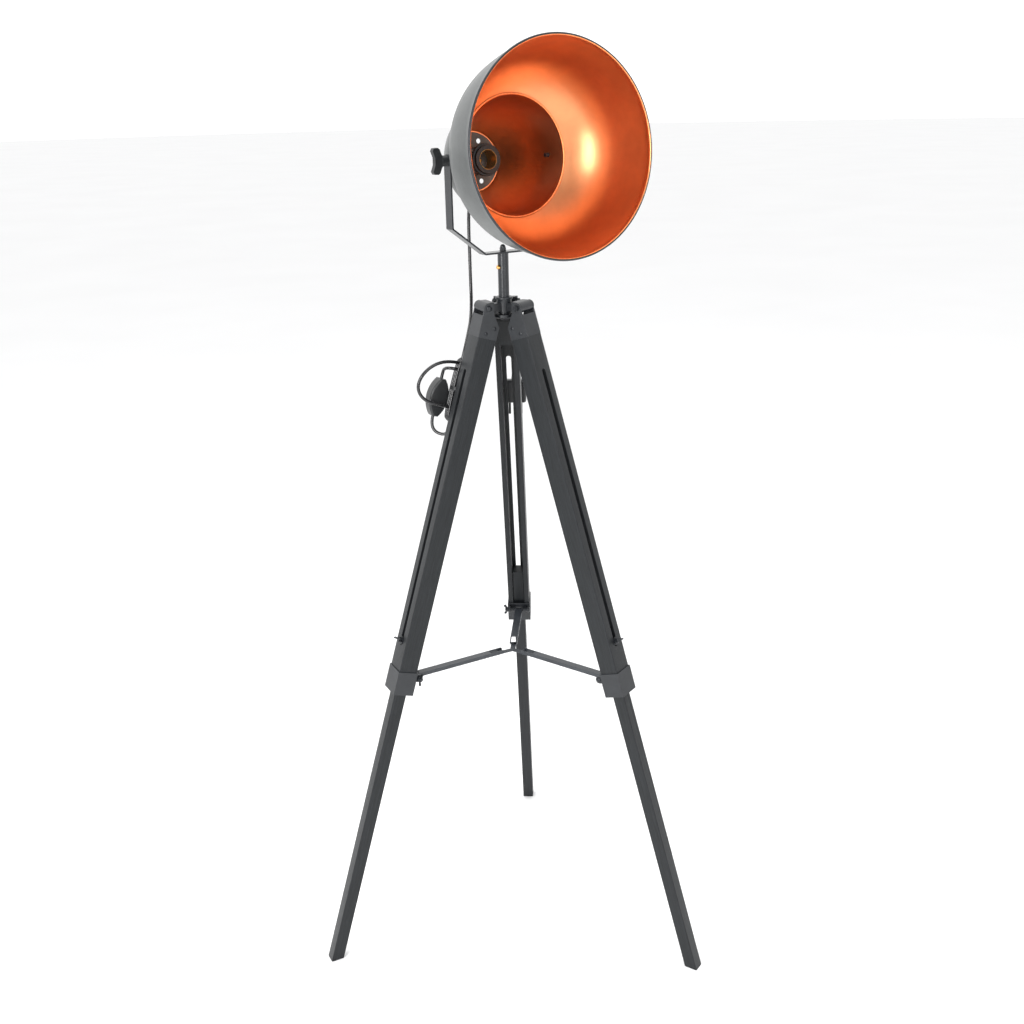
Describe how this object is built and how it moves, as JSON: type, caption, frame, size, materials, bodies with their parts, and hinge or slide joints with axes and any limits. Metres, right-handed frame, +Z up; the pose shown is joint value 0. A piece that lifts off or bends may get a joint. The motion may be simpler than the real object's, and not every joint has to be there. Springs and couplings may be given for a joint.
{
  "type": "tripod floor lamp",
  "caption": "Tripod floor lamp with folding, height-adjustable wooden legs, a spreader, a swivelling yoke and a tilting dome shade for an E27 lamp.",
  "frame": {"origin": "the point of the floor straight under the column's axis", "axes": "+Z up along the column; +Y towards the rear leg, and the two front legs stand 120 degrees to each side of it"},
  "size_m": [0.6068, 0.5621, 1.4064],
  "materials": {
    "black_casting": "satin",
    "black_column": "satin",
    "yoke_black": "satin",
    "brass": "satin",
    "black_fasteners": "gloss",
    "black_brackets": "satin",
    "black_wood": "painted satin",
    "spreader_steel": "satin",
    "shade_grey": "matt",
    "knob_plastic": "matt",
    "holder_plastic": "matt",
    "holder_metal": "satin",
    "lead_sheath": "gloss",
    "switch_plastic": "satin",
    "tie_plastic": "matt"
  },
  "bodies": {
    "stand": {"hub_body": "black_casting", "hub_clamp_disc": "black_casting", "column_collar": "black_casting", "column_tube": "black_column", "pivot_bolts": "black_fasteners", "lead_lower": "lead_sheath", "lead_to_plug": "lead_sheath", "plug": "switch_plastic"},
    "set_screw": {"column_set_screw": "brass"},
    "yoke": {"yoke": "yoke_black", "yoke_spigot": "black_column", "yoke_cap_nut": "yoke_black", "lead_middle": "lead_sheath"},
    "shade": {"shade_bowl": "shade_grey", "shade_cup": "shade_grey", "pivot_bushes": "shade_grey", "holder_plate": "shade_grey", "lamp_holder": "holder_plastic", "holder_liner": "holder_metal", "holder_contact": "brass", "holder_ring": "holder_plastic", "cord_gland": "holder_plastic", "lead_top": "lead_sheath"},
    "knob_left": {"tilt_knob_left": "knob_plastic"},
    "knob_right": {"tilt_knob_right": "knob_plastic"},
    "spreader_hub": {"spreader_hub": "spreader_steel"},
    "leg_rear": {"upper_leg_rear": "black_wood", "leg_bracket_rear": "black_brackets", "bracket_screws_rear": "black_fasteners", "leg_collar_rear": "black_brackets", "spreader_bolt_rear": "black_fasteners"},
    "lower_leg_rear": {"lower_leg_rear": "black_wood"},
    "leg_wing_bolt_rear": {"leg_wing_bolt_rear": "black_fasteners"},
    "spreader_wing_nut_rear": {"spreader_wing_nut_rear": "black_fasteners"},
    "spreader_arm_rear": {"spreader_arm_rear": "spreader_steel"},
    "leg_left": {"upper_leg_left": "black_wood", "leg_bracket_left": "black_brackets", "bracket_screws_left": "black_fasteners", "leg_collar_left": "black_brackets", "spreader_bolt_left": "black_fasteners", "lead_hank": "lead_sheath", "lead_loops": "lead_sheath", "lead_tie": "tie_plastic", "foot_switch": "switch_plastic"},
    "lower_leg_left": {"lower_leg_left": "black_wood"},
    "leg_wing_bolt_left": {"leg_wing_bolt_left": "black_fasteners"},
    "spreader_wing_nut_left": {"spreader_wing_nut_left": "black_fasteners"},
    "spreader_arm_left": {"spreader_arm_left": "spreader_steel"},
    "leg_right": {"upper_leg_right": "black_wood", "leg_bracket_right": "black_brackets", "bracket_screws_right": "black_fasteners", "leg_collar_right": "black_brackets", "spreader_bolt_right": "black_fasteners"},
    "lower_leg_right": {"lower_leg_right": "black_wood"},
    "leg_wing_bolt_right": {"leg_wing_bolt_right": "black_fasteners"},
    "spreader_wing_nut_right": {"spreader_wing_nut_right": "black_fasteners"},
    "spreader_arm_right": {"spreader_arm_right": "spreader_steel"},
    "switch_button": {"foot_switch_button": "switch_plastic"}
  },
  "joints": [
    {"name": "leg_rear_fold", "type": "hinge", "parent": "stand", "child": "leg_rear", "pos_m": [0, 0.033, 1.036], "axis": [-1, 0, 0], "range_deg": [0, 10]},
    {"name": "leg_left_fold", "type": "hinge", "parent": "stand", "child": "leg_left", "pos_m": [-0.02858, -0.0165, 1.036], "axis": [0.5, -0.866, 0], "range_deg": [0, 10]},
    {"name": "leg_right_fold", "type": "hinge", "parent": "stand", "child": "leg_right", "pos_m": [0.02858, -0.0165, 1.036], "axis": [0.5, 0.866, 0], "range_deg": [0, 10]},
    {"name": "spreader_arm_rear_swing", "type": "hinge", "parent": "leg_rear", "child": "spreader_arm_rear", "pos_m": [0, 0.17086, 0.47245], "axis": [-1, 0, 0], "range_deg": [0, 73.7]},
    {"name": "spreader_arm_left_swing", "type": "hinge", "parent": "leg_left", "child": "spreader_arm_left", "pos_m": [-0.14797, -0.08543, 0.47245], "axis": [0.5, -0.866, 0], "range_deg": [0, 73.7]},
    {"name": "spreader_arm_right_swing", "type": "hinge", "parent": "leg_right", "child": "spreader_arm_right", "pos_m": [0.14797, -0.08543, 0.47245], "axis": [0.5, 0.866, 0], "range_deg": [0, 73.7]},
    {"name": "spreader_rise", "type": "slide", "parent": "stand", "child": "spreader_hub", "axis": [0, 0, 1], "range_m": [0, 0.105]},
    {"name": "lower_leg_rear_slide", "type": "slide", "parent": "leg_rear", "child": "lower_leg_rear", "axis": [0, -0.2874, 0.9578], "range_m": [0, 0.42]},
    {"name": "leg_wing_bolt_rear_turn", "type": "hinge", "parent": "lower_leg_rear", "child": "leg_wing_bolt_rear", "pos_m": [0, 0.18976, 0.53648], "axis": [0, 0.9578, 0.2874], "range_deg": [0, 360]},
    {"name": "spreader_wing_nut_rear_turn", "type": "hinge", "parent": "leg_rear", "child": "spreader_wing_nut_rear", "pos_m": [-0.02, 0.17086, 0.47245], "axis": [-1, 0, 0], "range_deg": [0, 360]},
    {"name": "lower_leg_left_slide", "type": "slide", "parent": "leg_left", "child": "lower_leg_left", "axis": [0.2489, 0.1437, 0.9578], "range_m": [0, 0.42]},
    {"name": "leg_wing_bolt_left_turn", "type": "hinge", "parent": "lower_leg_left", "child": "leg_wing_bolt_left", "pos_m": [-0.16433, -0.09488, 0.53648], "axis": [-0.8295, -0.4789, 0.2874], "range_deg": [0, 360]},
    {"name": "spreader_wing_nut_left_turn", "type": "hinge", "parent": "leg_left", "child": "spreader_wing_nut_left", "pos_m": [-0.13797, -0.10275, 0.47245], "axis": [0.5, -0.866, 0], "range_deg": [0, 360]},
    {"name": "lower_leg_right_slide", "type": "slide", "parent": "leg_right", "child": "lower_leg_right", "axis": [-0.2489, 0.1437, 0.9578], "range_m": [0, 0.42]},
    {"name": "leg_wing_bolt_right_turn", "type": "hinge", "parent": "lower_leg_right", "child": "leg_wing_bolt_right", "pos_m": [0.16433, -0.09488, 0.53648], "axis": [0.8295, -0.4789, 0.2874], "range_deg": [0, 360]},
    {"name": "spreader_wing_nut_right_turn", "type": "hinge", "parent": "leg_right", "child": "spreader_wing_nut_right", "pos_m": [0.15797, -0.06811, 0.47245], "axis": [0.5, 0.866, 0], "range_deg": [0, 360]},
    {"name": "set_screw_turn", "type": "hinge", "parent": "stand", "child": "set_screw", "pos_m": [-0.00594, -0.00535, 1.092], "axis": [-0.7431, -0.6691, 0], "range_deg": [0, 360]},
    {"name": "yoke_swivel", "type": "hinge", "parent": "stand", "child": "yoke", "pos_m": [0, 0, 1.08], "axis": [0, 0, 1], "range_deg": [-150, 150]},
    {"name": "shade_tilt", "type": "hinge", "parent": "yoke", "child": "shade", "pos_m": [0, 0, 1.2456], "axis": [-0.8141, -0.5807, 0], "range_deg": [-18, 80]},
    {"name": "tilt_knob_left_turn", "type": "hinge", "parent": "shade", "child": "knob_left", "pos_m": [-0.07734, -0.05517, 1.2456], "axis": [-0.8141, -0.5807, 0], "range_deg": [0, 360]},
    {"name": "tilt_knob_right_turn", "type": "hinge", "parent": "shade", "child": "knob_right", "pos_m": [0.07734, 0.05517, 1.2456], "axis": [0.8141, 0.5807, 0], "range_deg": [0, 360]},
    {"name": "foot_switch_press", "type": "slide", "parent": "leg_left", "child": "switch_button", "axis": [-0.5, 0.866, 0], "range_m": [0, 0.002], "stiffness_N_per_m": 800}
  ],
  "couplings": [
    {"joint": "leg_left_fold", "follows": "leg_rear_fold", "ratio": 1},
    {"joint": "leg_right_fold", "follows": "leg_rear_fold", "ratio": 1},
    {"joint": "spreader_arm_rear_swing", "follows": "leg_rear_fold", "ratio": 7.37},
    {"joint": "spreader_arm_left_swing", "follows": "leg_rear_fold", "ratio": 7.37},
    {"joint": "spreader_arm_right_swing", "follows": "leg_rear_fold", "ratio": 7.37},
    {"joint": "spreader_rise", "follows": "leg_rear_fold", "m_per_rad": 0.6016}
  ]
}
